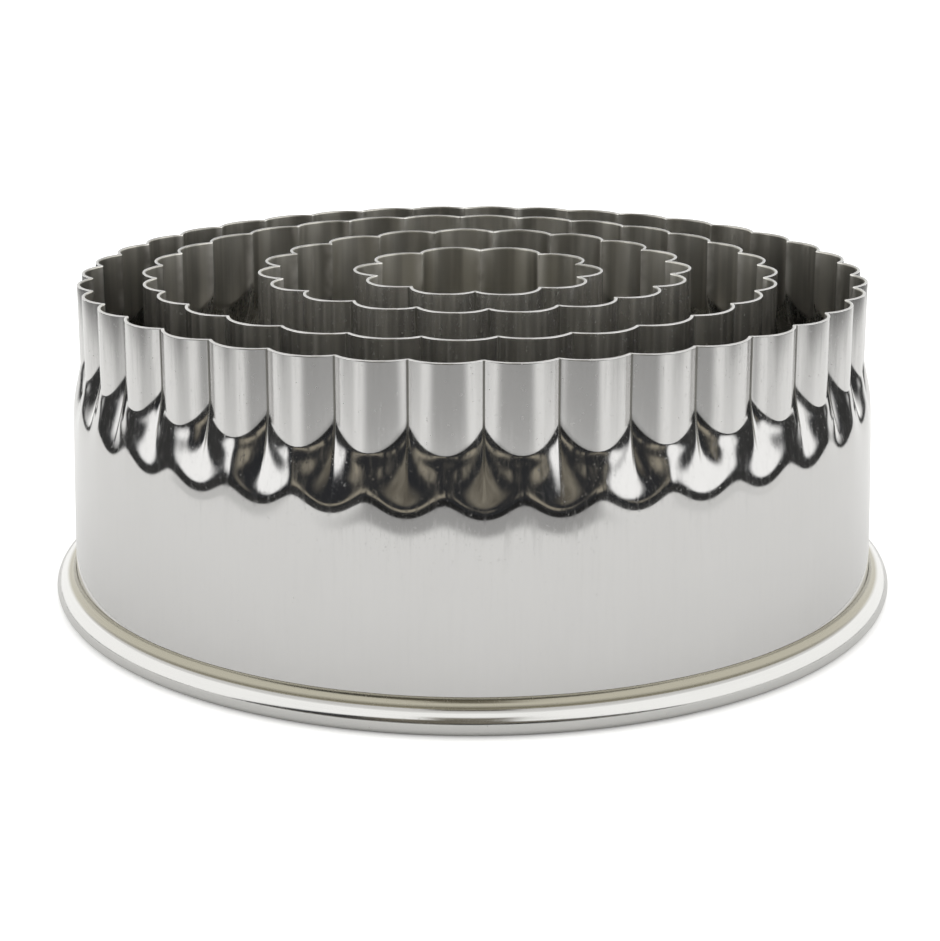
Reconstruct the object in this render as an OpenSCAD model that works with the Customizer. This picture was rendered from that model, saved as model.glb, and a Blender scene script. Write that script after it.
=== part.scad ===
// Nest of four fluted biscuit cutters in bright sheet steel, standing on their
// rolled rims with the cutting edges up. Millimetres, +Z up, the front faces -Y,
// the origin is on the table under the middle of the outer cutter.

/* [Set] */
// Height of every cutter, from the table to the cutting edge
cutter_h = 40.6; // [34:0.2:60]
// Thickness of the sheet steel
sheet_t = 0.4; // [0.3:0.05:0.6]

/* [Outer cutter] */
// Cutting diameter over the crests of the flutes
outer_d = 100; // [94:1:130]
// Number of flutes
outer_flutes = 38; // [32:1:42]
// Depth of a flute, from its crest in to the crease
outer_depth = 1.45; // [1.2:0.05:2]
// Angle of the first crease, turned from the front towards +X
outer_turn = 1.1; // [-5:0.1:5]

/* [Second cutter] */
// Free space between its rim and the flutes of the outer cutter, when centred
second_gap = 2.8; // [2.6:0.1:5]
// Number of flutes
second_flutes = 29; // [24:1:32]
// Depth of a flute, from its crest in to the crease
second_depth = 1.6; // [1.2:0.05:2]
// Angle of the first crease, turned from the front towards +X
second_turn = 6.5; // [0:0.1:12]
// How far it stands to the right of the middle
second_x = -1.6; // [-1.8:0.1:1.8]
// How far it stands behind the middle
second_y = 1.4; // [-1.8:0.1:1.8]

/* [Third cutter] */
// Free space between its rim and the flutes of the second cutter, when centred
third_gap = 6.2; // [5.5:0.1:8]
// Number of flutes
third_flutes = 19; // [16:1:22]
// Depth of a flute, from its crest in to the crease
third_depth = 2.2; // [1.6:0.05:2.5]
// Angle of the first crease, turned from the front towards +X
third_turn = 3.5; // [0:0.1:18]
// How far it stands to the right of the middle
third_x = 0.3; // [-1:0.1:1.5]
// How far it stands behind the middle
third_y = 2.4; // [0:0.1:3]

/* [Inner cutter] */
// Free space between its rim and the flutes of the third cutter, when centred
inner_gap = 4.8; // [4:0.1:6]
// Number of flutes
inner_flutes = 10; // [9:1:12]
// Depth of a flute, from its crest in to the crease
inner_depth = 2.3; // [1.8:0.05:2.6]
// Angle of the first crease, turned from the front towards +X
inner_turn = -1.7; // [-18:0.1:18]
// How far it stands to the right of the middle
inner_x = 0.7; // [-0.5:0.1:2]
// How far it stands behind the middle
inner_y = 0.3; // [0:0.1:3]

/* [Flutes and shoulder] */
// Length of the full crease, down from the cutting edge
crease_h = 6.6; // [5:0.2:8]
// Length of a flute at its crest, down from the cutting edge
tongue_h = 10; // [9.5:0.1:12]
// Depth of the shoulder's lower edge below the cutting edge
scoop_h = 15.9; // [14:0.1:20]
// How far the plain band stands out beyond the crests
band_step = 1.3; // [0.8:0.1:1.6]
// How much the plain band widens on its way down to the foot
foot_flare = 0.7; // [0.3:0.1:1.2]

/* [Rolled rim] */
// Outer radius of the rolled bead
bead_r = 1.5; // [1.2:0.05:1.8]
// Radius of the hollow cove between the band and the bead
cove_r = 0.9; // [0.6:0.05:1.2]
// Flat width between the cove and the top of the bead
tread_w = 0.1; // [0.05:0.05:0.6]
// How far the rim is folded in under the foot of the wall
lip_w = 0.8; // [0.6:0.1:1.5]
// Clearance between the rim's upper lip and the band
seat_gap = 0.05; // [0.02:0.01:0.1]

/* [Hidden] */
$fn = 120;

// Overshoot of the cavity past the faces it opens
overcut = 1;
// How far the flutes run on down inside the shoulder
flute_root = 1.5;
// Straight steps in the shoulder's arc, and further ones that run inside the flutes
arc_steps = 4;
buried_steps = 2;
// Straight steps in a quarter turn of the rim
rim_steps = 6;

rim_h = 2 * bead_r + cove_r;
rim_reach = seat_gap + cove_r + tread_w + bead_r;
rim_overhang = band_step + foot_flare + rim_reach;
foot_z = sheet_t;
scoop_z = cutter_h - scoop_h;
tongue_z = cutter_h - tongue_h;

// Each cutter's crest radius leaves room for its rim inside the one around it
function nested_r(crest_r, depth, gap) = crest_r - depth - sheet_t - gap - rim_overhang;
outer_r = outer_d / 2;
second_r = nested_r(outer_r, outer_depth, second_gap);
third_r = nested_r(second_r, second_depth, third_gap);
inner_r = nested_r(third_r, third_depth, inner_gap);

function foot_radius(crest_r) = crest_r + band_step + foot_flare;
function arc_points(c, r, from, to, steps) =
    [for (i = [0 : steps]) let (a = from + (to - from) * i / steps) c + r * [cos(a), sin(a)]];

// Shoulder from the scoops' lower edge up into the creases: a cone up past the ends
// of the flutes, then an arc that starts along the cone and leans further in
function shoulder_points(crest_r, depth, inset) =
    let (
        low_a = atan(band_step / (scoop_h - tongue_h)),
        mean_a = atan(depth / (tongue_h - crease_h)),
        high_a = 2 * mean_a - low_a,
        arc_r = (tongue_h - crease_h) / (sin(high_a) - sin(low_a)),
        arc_c = [crest_r - inset - arc_r * cos(low_a), tongue_z - arc_r * sin(low_a)],
        step_a = (high_a - low_a) / arc_steps,
        end_a = high_a + buried_steps * step_a
    )
    concat(
        [[crest_r + band_step - inset, scoop_z]],
        arc_points(arc_c, arc_r, low_a + step_a, end_a, arc_steps + buried_steps - 1)
    );

// Round lobes set side by side, which meet in sharp creases
module fluted_outline(crest_r, depth, flutes, turn, inset) {
    crease_r = crest_r - depth;
    lobe_c = (crest_r ^ 2 - crease_r ^ 2) / (2 * (crest_r - crease_r * cos(180 / flutes)));
    circle(r = crease_r - sheet_t);
    for (i = [0 : flutes - 1])
        rotate(turn - 90 + (i + 0.5) * 360 / flutes)
            translate([lobe_c, 0])
                circle(r = crest_r - lobe_c - inset);
}

// Solid that fills a cutter's wall to its outer face, or to its inner face when inset
module wall_form(crest_r, depth, flutes, turn, inset, low_z, high_z) {
    foot_r = foot_radius(crest_r) - inset;
    shoulder = shoulder_points(crest_r, depth, inset);
    root_z = tongue_z - flute_root;
    rotate_extrude()
        polygon(concat(
            [[0, low_z], [foot_r, low_z], [foot_r, rim_h]],
            shoulder,
            [[0, shoulder[len(shoulder) - 1][1]]]
        ));
    translate([0, 0, root_z])
        linear_extrude(high_z - root_z)
            fluted_outline(crest_r, depth, flutes, turn, inset);
}

module wall(crest_r, depth, flutes, turn) {
    difference() {
        wall_form(crest_r, depth, flutes, turn, 0, foot_z, cutter_h);
        wall_form(crest_r, depth, flutes, turn, sheet_t, foot_z - overcut, cutter_h + overcut);
    }
}

// Rim of sheet folded under the foot, rolled up round a hollow bead and brought
// back against the band in a cove
module rolled_rim(crest_r) {
    foot_r = foot_radius(crest_r);
    lip_r = foot_r + seat_gap;
    cove_c = [lip_r + cove_r, rim_h];
    bead_c = [lip_r + cove_r + tread_w, bead_r];
    hidden_a = 180 + acos(cove_r / (cove_r + sheet_t));
    rotate_extrude()
        polygon(concat(
            arc_points(cove_c, cove_r, 180, 270, rim_steps),
            arc_points(bead_c, bead_r, 90, -90, 2 * rim_steps),
            [[foot_r - lip_w, 0], [foot_r - lip_w, sheet_t]],
            arc_points(bead_c, bead_r - sheet_t, -90, 90, 2 * rim_steps),
            arc_points(cove_c, cove_r + sheet_t, 270, hidden_a, rim_steps)
        ));
}

module outer_wall() {
    color([0.80, 0.80, 0.79]) wall(outer_r, outer_depth, outer_flutes, outer_turn);
}

module outer_rim() {
    color([0.86, 0.86, 0.84]) rolled_rim(outer_r);
}

module second_wall() {
    color([0.72, 0.72, 0.70])
        translate([second_x, second_y, 0])
            wall(second_r, second_depth, second_flutes, second_turn);
}

module second_rim() {
    color([0.82, 0.82, 0.80]) translate([second_x, second_y, 0]) rolled_rim(second_r);
}

module third_wall() {
    color([0.66, 0.66, 0.64])
        translate([third_x, third_y, 0])
            wall(third_r, third_depth, third_flutes, third_turn);
}

module third_rim() {
    color([0.78, 0.78, 0.76]) translate([third_x, third_y, 0]) rolled_rim(third_r);
}

module inner_wall() {
    color([0.60, 0.60, 0.58])
        translate([inner_x, inner_y, 0])
            wall(inner_r, inner_depth, inner_flutes, inner_turn);
}

module inner_rim() {
    color([0.74, 0.74, 0.72]) translate([inner_x, inner_y, 0]) rolled_rim(inner_r);
}

outer_wall();
outer_rim();
second_wall();
second_rim();
third_wall();
third_rim();
inner_wall();
inner_rim();
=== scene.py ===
"""Nest of four fluted biscuit cutters in bright sheet steel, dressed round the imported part.

Lengths are metres in the part's own frame: +Z up, the front faces -Y, and the
origin is on the table under the middle of the outer cutter.
"""

import math

import bpy
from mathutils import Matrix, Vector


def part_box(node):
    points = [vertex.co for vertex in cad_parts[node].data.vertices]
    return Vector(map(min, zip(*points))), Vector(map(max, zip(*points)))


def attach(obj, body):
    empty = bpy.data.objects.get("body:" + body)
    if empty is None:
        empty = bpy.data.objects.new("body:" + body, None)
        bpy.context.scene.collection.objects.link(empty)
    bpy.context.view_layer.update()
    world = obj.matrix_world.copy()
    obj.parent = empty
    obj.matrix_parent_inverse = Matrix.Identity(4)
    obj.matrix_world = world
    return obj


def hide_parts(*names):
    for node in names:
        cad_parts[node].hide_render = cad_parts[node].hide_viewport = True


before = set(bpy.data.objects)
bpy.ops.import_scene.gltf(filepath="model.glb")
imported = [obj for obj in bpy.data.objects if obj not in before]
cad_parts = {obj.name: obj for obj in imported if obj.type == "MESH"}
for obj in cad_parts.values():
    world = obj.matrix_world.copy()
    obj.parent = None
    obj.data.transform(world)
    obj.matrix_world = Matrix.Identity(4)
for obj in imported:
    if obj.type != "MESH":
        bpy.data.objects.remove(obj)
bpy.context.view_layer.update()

bl_info = {
    "name": "Biscuit Cutter Nest",
    "version": (1, 0, 0),
    "blender": (4, 5, 0),
    "location": "View3D > Sidebar > Cutters",
    "description": "Presses, rolls and lights a nest of fluted biscuit cutters",
    "category": "Object",
}

CUTTERS = ("outer", "second", "third", "inner")
MM = 0.001
PER_MM = 1000.0

# Points of a mesh that are closer than this become one
SEAM = 0.001 * MM

# Columns of the meshes round one flute and round a rim
COLUMNS_PER_FLUTE = 22
RIM_COLUMNS = 256

# Camera fitted to the picture: widths and focal length in pixels, tilt in degrees
PICTURE_W = 940
FOCAL = 1951.2
SENSOR = 36.0
CAMERA_SHIFT = (-0.0027, -0.0447)
CAMERA_PLACE = (0.0, -0.2473, 0.08975)
CAMERA_TILT = 15.884

# Half the width of the floor
FLOOR_HALF = 4.0

BLACK = (0.0, 0.0, 0.0, 1.0)
WHITE = (1.0, 1.0, 1.0, 1.0)
# Painted highlight on the inner ridges behind the creases
RIDGE_HIGHLIGHT_COLOUR = (0.95, 0.93, 0.88, 1.0)
# Painted shade darkening the outer creases
CREASE_SHADE_COLOUR = (0.12, 0.115, 0.09, 1.0)
# Grey of the cut edge, laid on more strongly at the back as painted shade
CUT_COLOUR = (0.22, 0.22, 0.21, 1.0)
WALL_COLOURS = ((0.14, 0.125, 0.1, 1.0), (0.3, 0.275, 0.22, 1.0))
BOARD_COLOUR = (0.42, 0.38, 0.3, 1.0)


# ---------------------------------------------------------------- node maths


class Value:
    """A number in a node tree, so that sums on it are written as plain Python."""

    def __init__(self, bench, socket):
        self.bench = bench
        self.socket = socket

    def _sum(self, operation, *values):
        return self.bench.math(operation, *values)

    def __add__(self, other):
        return self._sum("ADD", self, other)

    def __radd__(self, other):
        return self._sum("ADD", other, self)

    def __sub__(self, other):
        return self._sum("SUBTRACT", self, other)

    def __rsub__(self, other):
        return self._sum("SUBTRACT", other, self)

    def __mul__(self, other):
        return self._sum("MULTIPLY", self, other)

    def __rmul__(self, other):
        return self._sum("MULTIPLY", other, self)

    def __truediv__(self, other):
        return self._sum("DIVIDE", self, other)

    def __rtruediv__(self, other):
        return self._sum("DIVIDE", other, self)

    def __pow__(self, other):
        return self._sum("POWER", self, other)


class Bench:
    """A node tree, and the one method that puts a node in it."""

    def __init__(self, tree):
        self.tree = tree
        tree.nodes.clear()

    def node(self, kind, settings=None, sockets=None):
        """Puts in a node, sets it, and fills or links its inputs."""
        made = self.tree.nodes.new(kind)
        for name, value in (settings or {}).items():
            setattr(made, name, value)
        for name, value in (sockets or {}).items():
            socket = made.inputs[name]
            if isinstance(value, Value):
                self.tree.links.new(value.socket, socket)
            elif isinstance(value, bpy.types.NodeSocket):
                self.tree.links.new(value, socket)
            else:
                socket.default_value = value
        return made

    def math(self, operation, *values):
        made = self.node("ShaderNodeMath", {"operation": operation}, dict(enumerate(values)))
        return Value(self, made.outputs[0])

    def smooth(self, value, low, high, start=0.0, end=1.0):
        """A soft step of value from start at low to end at high."""
        made = self.node(
            "ShaderNodeMapRange",
            {"interpolation_type": "SMOOTHSTEP"},
            {"Value": value, "From Min": low, "From Max": high, "To Min": start, "To Max": end},
        )
        return Value(self, made.outputs["Result"])

    def clamp(self, value):
        return self.math("MINIMUM", self.math("MAXIMUM", value, 0.0), 1.0)

    def above(self, value, softness):
        """The value where it is positive and nothing below, with a rounded bend."""
        return 0.5 * (value + self.math("SQRT", value * value + softness * softness))

    def parts(self, vector):
        made = self.node("ShaderNodeSeparateXYZ", sockets={0: vector})
        return [Value(self, s) for s in made.outputs]

    def attribute(self, name):
        """A value stored on the mesh, read in a material."""
        made = self.node("ShaderNodeAttribute", {"attribute_name": name})
        return Value(self, made.outputs["Fac"])

    def bump(self, strength, height):
        """Normal of a surface roughened by a height in units of 0.02 mm."""
        sockets = {"Strength": strength, "Distance": 0.02 * MM, "Height": height}
        return self.node("ShaderNodeBump", sockets=sockets).outputs[0]

    def joined(self, x, y, z):
        return self.node("ShaderNodeCombineXYZ", sockets={0: x, 1: y, 2: z}).outputs[0]

    def colour_mix(self, share, first, second):
        made = self.node(
            "ShaderNodeMix", {"data_type": "RGBA"}, {"Factor": share, 6: first, 7: second}
        )
        return made.outputs[2]

    def noise(self, vector, scale, detail=2.0, roughness=0.5):
        made = self.node(
            "ShaderNodeTexNoise",
            {"noise_dimensions": "3D"},
            {"Vector": vector, "Scale": scale, "Detail": detail, "Roughness": roughness},
        )
        return Value(self, made.outputs[0])


# ------------------------------------------------------------ user's settings


def length(name, description, default):
    """A setting in metres."""
    return bpy.props.FloatProperty(
        name=name, description=description, default=default, min=0.0, max=0.3,
        unit="LENGTH", precision=5,
    )


def amount(name, description, default, high=1.0):
    """A setting that is a plain number from nothing up."""
    return bpy.props.FloatProperty(
        name=name, description=description, default=default, min=0.0, max=high,
    )


def tint(name, description, red, green, blue):
    """A setting that is a colour."""
    return bpy.props.FloatVectorProperty(
        name=name, description=description, subtype="COLOR",
        size=4, min=0, max=1, default=(red, green, blue, 1.0),
    )


class CutterSizes(bpy.types.PropertyGroup):
    flutes: bpy.props.IntProperty(
        name="Flutes", description="Number of flutes round the cutter", default=38, min=6, max=60
    )
    depth: length("Flute depth", "From a crest in to the crease", 1.45 * MM)
    turn: bpy.props.FloatProperty(
        name="Turn", description="Angle of the first crease, from the front towards +X",
        default=0.0, unit="ROTATION",
    )


class NestSizes(bpy.types.PropertyGroup):
    sheet: length("Sheet", "Thickness of the sheet steel", 0.4 * MM)
    crease: length("Crease", "Length of a crease, down from the cutting edge", 6.7 * MM)
    tongue: length("Flute", "Length of a flute at its crest", 10.0 * MM)
    scoop: length("Scoop", "Depth of the scoops' lower edge at a crease", 15.8 * MM)
    scallop: length("Scallop", "Rise of the scoops' lower edge between two scoops", 1.25 * MM)
    lean: amount("Lean", "How much the flutes widen for each length down", 0.01, 0.2)
    bowl: amount("Bowl", "How far the creases open out into round bowls", 0.5)
    band_step: length("Band step", "How far the band stands out beyond the crests", 1.3 * MM)
    foot_flare: length("Foot flare", "How much the band widens down to the foot", 0.7 * MM)
    crease_round: length("Crease rounding", "Radius left in a crease", 0.12 * MM)
    fold_round: length("Fold rounding", "Softness of the fold under the scoops", 1.5 * MM)
    tongue_round: length("Tongue rounding", "Radius of the fold round a tongue", 0.15 * MM)
    bead: length("Bead", "Outer radius of the rolled bead", 1.5 * MM)
    cove: length("Cove", "Radius of the hollow between band and bead", 0.9 * MM)
    tread: length("Tread", "Flat width between the cove and the bead", 0.1 * MM)
    lip: length("Lip", "How far the rim is folded in under the foot", 0.8 * MM)
    seat_gap: length("Seat gap", "Clearance between the rim and the band", 0.05 * MM)


class SteelFinish(bpy.types.PropertyGroup):
    sheet_colour: tint("Sheet steel", "Colour of the bright sheet", 0.665, 0.658, 0.652)
    inside_colour: tint("Inside", "Colour of the sheet's duller inner face", 0.66, 0.64, 0.58)
    # Painted shade for the hollow between band and bead
    cove_shade_colour: tint("Cove", "Colour of the hollow between band and bead", 0.36, 0.34, 0.275)
    rim_colour: tint("Rim steel", "Colour of the rolled rims", 0.67, 0.665, 0.65)


class StageSettings(bpy.types.PropertyGroup):
    floor_colour: tint("Floor", "Colour of the floor", 0.92, 0.92, 0.915)
    softbox: amount("Soft boxes", "Brightness of the soft boxes overhead", 1.3, 4.0)
    floor_glow: amount("Floor glow", "Light seen on the floor besides the lamps", 0.3)
    shaded: amount("Shaded paper", "How much darker the paper is near the camera", 0.55)
    dark: amount("Dark studio", "Brightness of the unlit studio round the camera", 0.03)


# ------------------------------------------------------------------- shapes


def cutter_place(cutter):
    """Middle, foot radius, crest radius, top and bottom of a cutter, as the part has them."""
    low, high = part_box(cutter + "_wall")
    nest = bpy.context.scene.cutter_nest
    foot = round((high.x - low.x) / 2, 5)
    middle = (round((low.x + high.x) / 2, 5), round((low.y + high.y) / 2, 5))
    crest = foot - nest.band_step - nest.foot_flare
    return middle, foot, crest, round(high.z, 5), round(low.z, 5)


def wall_section():
    """Rows of a wall, up its outer face, over the cutting edge and down its inner face.

    Each is (how far in through the sheet, level): level 0 to 1 is the band, 1 to 2
    the scooped shoulder and 2 to 3 the flutes.
    """
    band = (0, 0.145, 0.3, 0.5, 0.7, 0.85, 0.92, 0.945, 0.96, 0.97, 0.98, 0.99)
    low_fold = (0, 0.01, 0.02, 0.03, 0.045, 0.06, 0.08, 0.1, 0.13, 0.16)
    dish = tuple(0.2 + 0.04 * i for i in range(16))
    high_fold = (0.83, 0.86, 0.89, 0.91, 0.93, 0.95, 0.965, 0.98, 0.99)
    flute = (0, 0.01, 0.02, 0.035, 0.05, 0.075, 0.1, 0.14, 0.2, 0.35, 0.55, 0.75, 0.9, 0.985)
    outer = [*band, *(1 + q for q in low_fold + dish + high_fold), *(2 + q for q in flute)]
    edge = [(0.0, 2.994), (0.12, 3.0), (0.5, 3.0), (0.88, 3.0), (1.0, 2.994)]
    inner = [
        2.97, 2.8, 2.5, 2.2, 2.1, 2.05, 2.02, 2.0, 1.98, 1.95, 1.9, 1.85, 1.8, 1.7, 1.6, 1.5,
        1.4, 1.3, 1.2, 1.13, 1.08, 1.04, 1.02, 1.0, 0.99, 0.97, 0.94, 0.9, 0.7, 0.4, 0.145, 0,
    ]
    rows = [(0.0, q) for q in outer] + edge + [(1.0, q) for q in inner]
    return rows + [rows[0]]


def arc(middle, radius, start, end, steps):
    """Points along a circle, from one angle to another in degrees."""
    turns = [math.radians(start + (end - start) * i / steps) for i in range(steps + 1)]
    return [(middle[0] + radius * math.cos(t), middle[1] + radius * math.sin(t)) for t in turns]


def rim_section(foot):
    """Outline of the rolled rim's sheet, as (radius, height), anticlockwise."""
    nest = bpy.context.scene.cutter_nest
    lip = foot + nest.seat_gap
    rim_h = 2 * nest.bead + nest.cove
    cove_c = (lip + nest.cove, rim_h)
    bead_c = (lip + nest.cove + nest.tread, nest.bead)
    back = math.degrees(math.acos(nest.cove / (nest.cove + nest.sheet)))
    outline = (
        arc(cove_c, nest.cove, 180, 270, 14)
        + arc(bead_c, nest.bead, 90, -90, 32)
        + [(foot - nest.lip, 0), (foot - nest.lip, nest.sheet)]
        + arc(bead_c, nest.bead - nest.sheet, -90, 90, 16)
        + arc(cove_c, nest.cove + nest.sheet, 270, 180 + back, 8)
    )
    outline.reverse()
    return outline + [outline[0]]


def row_holder(name, rows):
    """An object whose mesh has one point for each row of a ring, for its node tree."""
    mesh = bpy.data.meshes.new(name)
    mesh.from_pydata([(a, 0, b) for a, b in rows], [], [])
    holder = bpy.data.objects.new(name, mesh)
    bpy.context.scene.collection.objects.link(holder)
    return holder


def tree_with(name, counts, measures):
    """A geometry node tree with named inputs, its bench, its inputs and their identifiers."""
    tree = bpy.data.node_groups.new(name, "GeometryNodeTree")
    tree.interface.new_socket("Geometry", in_out="OUTPUT", socket_type="NodeSocketGeometry")
    kinds = {"Rows": "NodeSocketGeometry"}
    kinds.update((label, "NodeSocketInt") for label in counts)
    kinds.update((label, "NodeSocketFloat") for label in measures)
    kinds["Material"] = "NodeSocketMaterial"
    names = {}
    for label, kind in kinds.items():
        socket = tree.interface.new_socket(label, in_out="INPUT", socket_type=kind)
        names[label] = socket.identifier
    bench = Bench(tree)
    given = bench.node("NodeGroupInput").outputs
    return tree, names, bench, {s.name: Value(bench, s) for s in given if s.name}


def ring_grid(bench, rows, columns):
    """A sheet of rows x columns, with the number of each column and its row's two values."""
    count = bench.node("GeometryNodeAttributeDomainSize", {"component": "MESH"}, {0: rows})
    row_count = Value(bench, count.outputs["Point Count"])
    grid = bench.node(
        "GeometryNodeMeshGrid",
        sockets={
            "Size X": columns, "Size Y": row_count - 1.0,
            "Vertices X": columns + 1.0, "Vertices Y": row_count,
        },
    )
    position = bench.node("GeometryNodeInputPosition").outputs[0]
    x, y, _ = bench.parts(position)
    column = bench.math("ROUND", x + columns * 0.5)
    row = bench.math("ROUND", y + (row_count - 1.0) * 0.5)
    sample = bench.node(
        "GeometryNodeSampleIndex", {"data_type": "FLOAT_VECTOR", "domain": "POINT"},
        {"Geometry": rows, "Value": position, "Index": row},
    )
    first, _, second = bench.parts(sample.outputs[0])
    return grid.outputs["Mesh"], column, first, second


def close_ring(bench, given, mesh, radius, angle, z, marks):
    """Moves the sheet round its middle, joins its seam and ends the tree."""
    position = bench.joined(
        given["Middle X"] + radius * bench.math("COSINE", angle),
        given["Middle Y"] + radius * bench.math("SINE", angle),
        z,
    )
    for name, value in marks.items():
        mesh = bench.node(
            "GeometryNodeStoreNamedAttribute", {"data_type": "FLOAT", "domain": "POINT"},
            {"Geometry": mesh, "Name": name, "Value": value},
        ).outputs[0]
    placed = bench.node("GeometryNodeSetPosition", sockets={0: mesh, "Position": position})
    sealed = bench.node(
        "GeometryNodeMergeByDistance", sockets={0: placed.outputs[0], "Distance": SEAM}
    )
    smooth = bench.node("GeometryNodeSetShadeSmooth", sockets={0: sealed.outputs[0]})
    real = bench.node("GeometryNodeRealizeInstances", sockets={0: smooth.outputs[0]})
    painted = bench.node(
        "GeometryNodeSetMaterial", sockets={0: real.outputs[0], "Material": given["Material"]}
    )
    bench.node("NodeGroupOutput", sockets={0: painted.outputs[0]})


def wall_tree():
    """Rule of a fluted wall: plain band, scooped shoulder and flutes that meet in creases."""
    tree, names, b, v = tree_with("Fluted wall", ("Flutes", "Columns per flute"), (
        "Crest radius", "Flute depth", "Turn", "Middle X", "Middle Y", "Foot height",
        "Rim height", "Edge height", "Sheet", "Crease", "Tongue", "Scoop", "Scallop", "Lean",
        "Bowl", "Band step", "Foot flare", "Crease rounding", "Fold rounding",
        "Tongue rounding",
    ))
    flutes, per_flute = v["Flutes"], v["Columns per flute"]
    mesh, column, inset, level = ring_grid(b, v["Rows"], flutes * per_flute)

    # Columns crowd towards the creases: away is 0 in a crease and 1 on a crest
    flute = b.math("FLOOR", column / per_flute)
    part = column / per_flute - flute
    past = b.math("GREATER_THAN", part, 0.5)
    side = 1.0 - 2.0 * past
    crowding = 1.7
    away = (1.0 - b.math("ABSOLUTE", 2.0 * part - 1.0)) ** crowding
    half_pitch = math.pi / flutes
    first_crease = v["Turn"] - math.pi / 2
    angle = first_crease + 2.0 * half_pitch * (flute + past) + half_pitch * side * away

    # Heights of the scoops' wavy lower edge and of the flutes' round ends
    wave_peak, tongue_point = 1.4, 2.3
    edge_z = v["Edge height"]
    crest = v["Crest radius"]
    wave = (0.5 - 0.5 * b.math("COSINE", math.pi * away)) ** wave_peak
    low_z = edge_z - v["Scoop"] + v["Scallop"] * wave
    high_z = edge_z - v["Tongue"] + (v["Tongue"] - v["Crease"]) * (1.0 - away) ** tongue_point
    span = high_z - low_z
    foot_z = v["Foot height"]
    z = (
        foot_z
        + (low_z - foot_z) * b.clamp(level)
        + span * b.clamp(level - 1.0)
        + (edge_z - high_z) * b.clamp(level - 2.0)
    )

    # How far down the scoop: 0 at the flute's end, rounder in a crease, and 1 at the lower edge
    rounder = 2.2
    tongue_round = v["Tongue rounding"] * (1.0 + rounder - rounder * away)
    down = b.above(high_z - z, tongue_round) / span
    fall = b.clamp(1.0 - b.above(1.0 - down, v["Fold rounding"] / span))

    # Round lobes that meet in creases, and the hollow bowls that they turn into
    crease = crest - v["Flute depth"]
    lobe_c = (crest * crest - crease * crease) / (
        2.0 * (crest - crease * b.math("COSINE", half_pitch))
    )
    opened = v["Crease rounding"] / (crease * half_pitch)
    spread = b.math("SQRT", away * away + opened * opened * (1.0 - away * away))
    off = half_pitch * (1.0 - spread)
    lobe_r = crest - lobe_c - v["Sheet"] * inset
    across = lobe_c * b.math("SINE", off)
    lobe = lobe_c * b.math("COSINE", off) + b.math("SQRT", lobe_r * lobe_r - across * across)
    crest_r = crest - v["Sheet"] * inset
    bowl = v["Flute depth"] * (1.0 - away * away)
    bowl_start, bowl_end = 0.25, 1.1
    turned = v["Bowl"] * b.smooth(down, bowl_start, bowl_end)
    hollow = (crest_r - lobe) * (1.0 - turned) + bowl * turned

    # The shoulder carries both out to the band, steepest under the creases
    low_edge = edge_z - v["Scoop"]
    flare = v["Foot flare"] * b.math(
        "MINIMUM", (low_edge - z) / (low_edge - v["Rim height"]), 1.0
    )
    leaning = v["Lean"] * (edge_z - z)
    steeper, steep_width = 0.4, 1.5
    bend = 1.0 + steeper * (1.0 - away) ** steep_width
    sunk = (v["Band step"] + flare - leaning + hollow) * (1.0 - fall ** bend)
    radius = crest_r + v["Band step"] + flare - sunk
    marks = {"inside": inset, "pressed": level, "away": away}
    close_ring(b, v, mesh, radius, angle, z, marks)
    return tree, names


def rim_tree():
    """A section of folded sheet carried once round."""
    tree, names, b, v = tree_with("Rolled rim", ("Columns",), ("Middle X", "Middle Y"))
    mesh, column, radius, z = ring_grid(b, v["Rows"], v["Columns"])
    angle = 2.0 * math.pi * column / v["Columns"]
    close_ring(b, v, mesh, radius, angle, z, {})
    return tree, names


def made_by(name, rows, tree, names, values):
    """Runs a tree on its rows and returns the result as a plain mesh object."""
    holder = row_holder(name + "_rows", rows)
    modifier = holder.modifiers.new("shape", "NODES")
    modifier.node_group = tree
    for label, value in values.items():
        modifier[names[label]] = value
    bpy.context.view_layer.update()
    graph = bpy.context.evaluated_depsgraph_get()
    mesh = bpy.data.meshes.new_from_object(holder.evaluated_get(graph))
    holder.modifiers.clear()
    bpy.data.objects.remove(holder)
    mesh.name = name
    if len(mesh.polygons) == 0:
        raise RuntimeError(name + " came out empty")
    if not mesh.materials:
        mesh.materials.append(values["Material"])
    made = bpy.data.objects.new(name, mesh)
    bpy.context.scene.collection.objects.link(made)
    return made


# ----------------------------------------------------------------- finishes


def scaled(colour, share):
    """A colour made darker or lighter."""
    return tuple(share * c for c in colour[:3]) + (1.0,)


def new_material(name):
    material = bpy.data.materials.new(name)
    material.use_nodes = True
    return material, Bench(material.node_tree)


def finish_with(bench, colour, roughness, normal):
    """Ends a material as bare metal."""
    shader = bench.node(
        "ShaderNodeBsdfPrincipled",
        sockets={
            "Metallic": 1.0, "Base Color": colour, "Roughness": roughness, "Normal": normal,
        },
    )
    bench.node("ShaderNodeOutputMaterial", sockets={"Surface": shader.outputs[0]})


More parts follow.
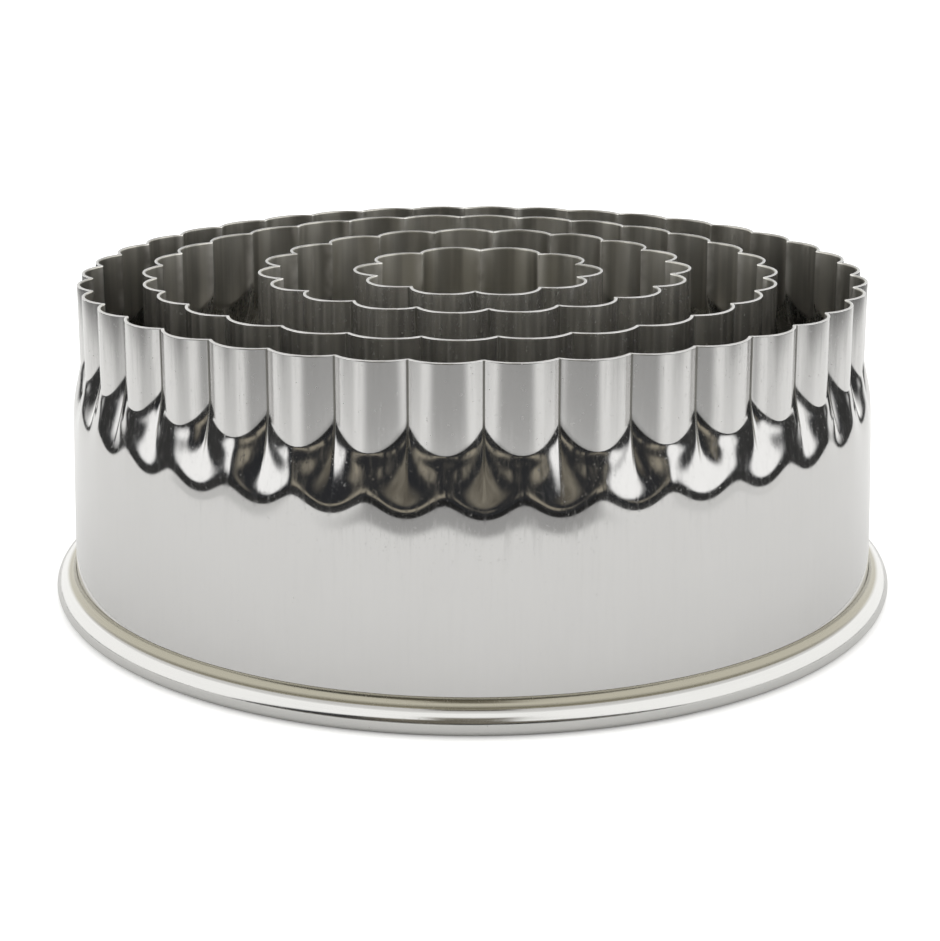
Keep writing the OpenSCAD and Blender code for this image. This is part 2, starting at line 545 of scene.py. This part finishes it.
def sheet_steel(name, dullness):
    """Bright rolled sheet: faint upright rolling marks, fine scratches and a duller inner face."""
    finish = bpy.context.scene.steel_finish
    material, b = new_material(name)
    place = b.node("ShaderNodeTexCoord").outputs["Object"]
    x, y, z = b.parts(place)
    inside, pressed, away = (b.attribute(name) for name in ("inside", "pressed", "away"))

    def drawn(stretch):
        """Place with its height pressed together, which stretches a noise up and down."""
        return b.joined(x * PER_MM, y * PER_MM, z * stretch)

    # Marks stretched up and down, since the sheet is drawn upright over the flutes
    rolling = b.noise(drawn(55.0), 1.9, 3.0, 0.6)
    scratch = b.noise(drawn(120.0), 7.0, 2.0, 0.7)
    marks = b.noise(drawn(30.0), 0.33, 3.0, 0.45)
    blotch = b.noise(place, 160.0, 3.0, 0.55)
    specks = b.smooth(b.noise(place, 2600.0, 1.0), 0.66, 0.76)

    # Outer face: bright, with a painted highlight that makes the flutes lighter
    fluted = b.smooth(pressed, 1.85, 2.1)
    shade = b.clamp(0.35 * blotch + 0.35 * rolling + 0.3 * inside)
    sheet = b.colour_mix(shade, finish.sheet_colour, scaled(finish.sheet_colour, 0.9))
    sheet = b.colour_mix(fluted * (1.0 - shade), sheet, scaled(finish.sheet_colour, 1.1))

    # Inner face: upright drawing marks, and a painted highlight on the ridges behind the creases
    dull = scaled(finish.inside_colour, 0.6)
    inner = b.colour_mix(b.smooth(marks, 0.4, 0.62), dull, finish.inside_colour)
    # Painted highlight: the ridges behind the creases are lightened
    ridge_highlight = b.smooth(away, 0.25, 0.04) * b.smooth(pressed, 1.3, 1.7)
    inner = b.colour_mix(ridge_highlight * b.smooth(blotch, 0.35, 0.6), inner, RIDGE_HIGHLIGHT_COLOUR)
    colour = b.colour_mix(inside, sheet, inner)

    # Painted shade in the outer creases, and a cut edge that is greyer at the back, which is also
    # painted shade
    # Painted shade: the outer creases are darkened
    crease_shade = b.smooth(away, 0.05, 0.015) * b.smooth(pressed, 1.3, 1.6) * (1.0 - inside)
    colour = b.colour_mix(0.75 * crease_shade, colour, CREASE_SHADE_COLOUR)
    # The cut edge's own grey, with painted shade that makes it greyer at the back
    cut_and_back_shade = b.smooth(pressed, 2.992, 2.998) * b.smooth(y, -0.03, 0.03, 0.5, 0.85)
    colour = b.colour_mix(cut_and_back_shade, colour, CUT_COLOUR)
    roughness = (
        0.07 + dullness
        + 0.08 * fluted
        + 0.07 * b.smooth(rolling, 0.45, 0.75)
        + 0.1 * b.smooth(scratch, 0.6, 0.75)
        + 0.12 * specks
        + 0.17 * inside
        + 0.2 * crease_shade
    )
    height = 0.5 * rolling + 0.35 * scratch + 0.3 * blotch
    finish_with(b, colour, roughness, b.bump(0.12, height))
    return material


def rim_steel(name, middle, bead_r):
    """Bright rolled rim: faint lines that run round the bead, and a straw-tinted painted shade in
    the cove.
    """
    finish = bpy.context.scene.steel_finish
    material, b = new_material(name)
    place = b.node("ShaderNodeTexCoord").outputs["Object"]
    x, y, z = b.parts(place)
    radius = b.math("SQRT", (x - middle[0]) ** 2.0 + (y - middle[1]) ** 2.0)
    around = b.joined(radius * PER_MM, z * PER_MM, (x + y) * 12.0)
    lines = b.noise(around, 5.0, 3.0, 0.65)
    blotch = b.noise(place, 140.0, 3.0, 0.55)
    specks = b.smooth(b.noise(place, 2200.0, 1.0), 0.66, 0.76)
    shade = b.clamp(0.5 * blotch + 0.4 * lines)
    colour = b.colour_mix(shade, finish.rim_colour, scaled(finish.rim_colour, 0.9))
    # Painted shade: the hollow between band and bead is darkened
    cove = b.smooth(radius, bead_r + 0.3 * MM, bead_r - 0.3 * MM)
    cove = cove * b.smooth(z, 2.0 * MM, 2.6 * MM)
    colour = b.colour_mix(cove, colour, finish.cove_shade_colour)
    roughness = 0.14 + 0.08 * cove + 0.08 * b.smooth(lines, 0.45, 0.75) + 0.1 * specks
    finish_with(b, colour, roughness, b.bump(0.15, lines + 0.3 * blotch))
    return material


# ---------------------------------------------------------------- operators


class PressCutterWalls(bpy.types.Operator):
    """Press the fluted wall of every cutter"""

    bl_idname = "cutters.press_walls"
    bl_label = "Press Walls"

    def execute(self, context):
        scene = context.scene
        nest = scene.cutter_nest
        tree, names = wall_tree()
        rows = wall_section()
        for i, cutter in enumerate(CUTTERS):
            middle, _, crest, top, bottom = cutter_place(cutter)
            own = getattr(scene, cutter + "_cutter")
            wall = made_by(cutter + "_cutter_wall", rows, tree, names, {
                "Flutes": own.flutes, "Columns per flute": COLUMNS_PER_FLUTE,
                "Crest radius": crest, "Flute depth": own.depth, "Turn": own.turn,
                "Middle X": middle[0], "Middle Y": middle[1],
                "Foot height": bottom, "Rim height": 2 * nest.bead + nest.cove,
                "Edge height": top, "Sheet": nest.sheet, "Crease": nest.crease,
                "Tongue": nest.tongue, "Scoop": nest.scoop, "Scallop": nest.scallop,
                "Lean": nest.lean, "Bowl": nest.bowl,
                "Band step": nest.band_step, "Foot flare": nest.foot_flare,
                "Crease rounding": nest.crease_round, "Fold rounding": nest.fold_round,
                "Tongue rounding": nest.tongue_round,
                "Material": sheet_steel("sheet_steel_" + cutter, 0.02 * i),
            })
            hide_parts(cutter + "_wall")
            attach(wall, cutter + "_cutter")
        return {"FINISHED"}


class RollCutterRims(bpy.types.Operator):
    """Roll the rim round the foot of every cutter"""

    bl_idname = "cutters.roll_rims"
    bl_label = "Roll Rims"

    def execute(self, context):
        nest = context.scene.cutter_nest
        tree, names = rim_tree()
        for cutter in CUTTERS:
            middle, foot, *_ = cutter_place(cutter)
            bead_r = foot + nest.seat_gap + nest.cove + nest.tread
            rim = made_by(cutter + "_cutter_rim", rim_section(foot), tree, names, {
                "Columns": RIM_COLUMNS, "Middle X": middle[0], "Middle Y": middle[1],
                "Material": rim_steel("rim_steel_" + cutter, middle, bead_r),
            })
            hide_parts(cutter + "_rim")
            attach(rim, cutter + "_cutter")
        return {"FINISHED"}


class SetCutterStage(bpy.types.Operator):
    """Lay the floor, light the studio and place the camera"""

    bl_idname = "cutters.set_stage"
    bl_label = "Set Stage"

    def execute(self, context):
        self.lay_floor(context.scene)
        self.light(context.scene)
        self.place_camera(context.scene)
        context.scene.view_settings.view_transform = "Standard"
        return {"FINISHED"}

    def lay_floor(self, scene):
        """White paper to the camera; in the steel it ends on a dark table."""
        mesh = bpy.data.meshes.new("floor")
        half = FLOOR_HALF
        corners = [(-half, -half, 0), (half, -half, 0), (half, half, 0), (-half, half, 0)]
        mesh.from_pydata(corners, [], [(0, 1, 2, 3)])
        floor = bpy.data.objects.new("floor", mesh)
        scene.collection.objects.link(floor)
        material, b = new_material("paper_floor")
        stage = scene.cutter_stage
        x, y, _ = b.parts(b.node("ShaderNodeTexCoord").outputs["Object"])
        reach = b.math("SQRT", x * x + y * y)
        front = (0.0 - y) / (reach + 0.001)
        # The paper is half lit near the camera, and less so on either side of it
        beside = b.smooth(x, -0.05, 0.05, 0.45, 0.25) * (
            b.smooth(front, 0.15, 0.4) * b.smooth(front, 0.72, 0.62)
        )
        near_camera = b.smooth(reach, 0.146, 0.158) * (
            beside + (1.0 - beside) * b.smooth(front, 0.8, 0.93)
        )
        # Its end lies further out in front, where the dark table begins
        paper_end = reach - 0.08 * b.smooth(front, 0.4, 0.8)
        lit = b.smooth(paper_end, 0.2, 0.25, 0.88, 0.04) * (1.0 - stage.shaded * near_camera)
        backdrop = b.smooth(reach, 0.28, 0.36) * b.smooth(front, -0.35, -0.6)
        path = b.node("ShaderNodeLightPath")
        seen = Value(b, path.outputs["Is Camera Ray"])
        share = b.math("MAXIMUM", b.math("MAXIMUM", lit, backdrop), seen)
        colour = b.colour_mix(share, BLACK, stage.floor_colour)
        paper = b.node("ShaderNodeBsdfDiffuse", sockets={"Color": colour})
        extra = stage.floor_glow * b.math("MAXIMUM", seen, backdrop)
        glow = b.node("ShaderNodeEmission", sockets={"Strength": extra})
        both = b.node("ShaderNodeAddShader", sockets={0: paper.outputs[0], 1: glow.outputs[0]})
        b.node("ShaderNodeOutputMaterial", sockets={"Surface": both.outputs[0]})
        mesh.materials.append(material)

    def light(self, scene):
        """Soft boxes overhead and a pale backdrop behind, with the dark studio in front."""
        stage = scene.cutter_stage
        world = bpy.data.worlds.new("studio")
        world.use_nodes = True
        scene.world = world
        b = Bench(world.node_tree)
        x, y, z = b.parts(b.node("ShaderNodeTexCoord").outputs["Generated"])
        flat = b.math("SQRT", x * x + y * y) + 0.0001
        across = x / flat
        front = (0.0 - y) / flat
        ahead = 0.0 - y
        right = b.math("GREATER_THAN", x, 0.0)
        # The boxes hang over the sides and the back, the right one nearer to the camera
        rim = 0.42 + 0.13 * right + (0.7 + 0.2 * right) * z
        behind_camera = b.smooth(b.math("ABSOLUTE", x), 0.2, 0.12) * b.smooth(ahead, 0.0, 0.1)
        behind_camera = behind_camera * b.smooth(z, 0.9, 0.78)
        lit = b.smooth(rim - ahead, -0.04, 0.04) * b.smooth(z, 0.0, 0.05)
        lit = lit * (1.0 - behind_camera)
        # Room behind the camera, with a few pale boards
        patches = b.noise(b.joined(across * 3.0, z * 5.0, 0.0), 1.0, 3.0, 0.6)
        room = b.smooth(front, 0.84, 0.94) * b.smooth(z, 0.15, 0.22)
        room = b.math("MAXIMUM", room, behind_camera * b.smooth(z, 0.13, 0.2))
        wavy = z - 0.07 + 0.1 * (patches - 0.5)
        boards = b.smooth(b.math("ABSOLUTE", wavy), 0.035, 0.01) * b.smooth(front, 0.55, 0.7)
        boards = boards * b.smooth(patches, 0.4, 0.55)
        dark = (stage.dark, stage.dark * 1.05, stage.dark * 1.15, 1.0)
        walls = b.colour_mix(b.smooth(patches, 0.35, 0.65), *WALL_COLOURS)
        studio = b.colour_mix(room, dark, walls)
        studio = b.colour_mix(boards, studio, BOARD_COLOUR)
        boxes = (stage.softbox, stage.softbox, stage.softbox * 0.99, 1.0)
        sky = b.colour_mix(lit, studio, boxes)
        path = b.node("ShaderNodeLightPath")
        shown = b.colour_mix(path.outputs["Is Camera Ray"], sky, WHITE)
        back = b.node("ShaderNodeBackground", sockets={"Color": shown, "Strength": 1.0})
        b.node("ShaderNodeOutputWorld", sockets={"Surface": back.outputs[0]})

    def place_camera(self, scene):
        """The camera that sees the nest as in the picture."""
        data = bpy.data.cameras.new("camera")
        data.sensor_width = SENSOR
        data.lens = FOCAL / PICTURE_W * SENSOR
        data.shift_x, data.shift_y = CAMERA_SHIFT
        data.clip_start, data.clip_end = 0.01, 20.0
        camera = bpy.data.objects.new("camera", data)
        camera.location = CAMERA_PLACE
        camera.rotation_euler = (math.radians(90 - CAMERA_TILT), 0.0, 0.0)
        scene.collection.objects.link(camera)
        scene.camera = camera


class CutterPanel(bpy.types.Panel):
    """The nest's operators and settings"""

    bl_idname = "VIEW3D_PT_cutters"
    bl_label = "Biscuit Cutters"
    bl_space_type = "VIEW_3D"
    bl_region_type = "UI"
    bl_category = "Cutters"

    def draw(self, context):
        layout = self.layout
        for operator in OPERATORS:
            layout.operator(operator.bl_idname)
        for group in SETTINGS:
            owner = getattr(context.scene, group)
            box = layout.box()
            box.label(text=group.replace("_", " ").capitalize())
            for name in owner.bl_rna.properties.keys():
                if name not in ("rna_type", "name"):
                    box.prop(owner, name)


OPERATORS = (PressCutterWalls, RollCutterRims, SetCutterStage)
CLASSES = (CutterSizes, NestSizes, SteelFinish, StageSettings, *OPERATORS, CutterPanel)
SETTINGS = {
    "cutter_nest": NestSizes,
    "steel_finish": SteelFinish,
    "cutter_stage": StageSettings,
    **{cutter + "_cutter": CutterSizes for cutter in CUTTERS},
}
# Flutes, their depth in millimetres and the first crease's turn in degrees
CUTTER_VALUES = {
    "outer": (38, 1.45, 1.4),
    "second": (29, 1.6, 6.5),
    "third": (19, 2.2, 3.5),
    "inner": (10, 2.3, -1.7),
}


def register():
    for cls in CLASSES:
        bpy.utils.register_class(cls)
    for name, group in SETTINGS.items():
        setattr(bpy.types.Scene, name, bpy.props.PointerProperty(type=group))


def unregister():
    for name in SETTINGS:
        delattr(bpy.types.Scene, name)
    for cls in reversed(CLASSES):
        bpy.utils.unregister_class(cls)


def main():
    """Makes the nest and its stage."""
    register()
    for cutter, (flutes, depth, turn) in CUTTER_VALUES.items():
        own = getattr(bpy.context.scene, cutter + "_cutter")
        own.flutes, own.depth, own.turn = flutes, depth * MM, math.radians(turn)
    bpy.ops.cutters.press_walls()
    bpy.ops.cutters.roll_rims()
    bpy.ops.cutters.set_stage()


if __name__ == "__main__":
    main()
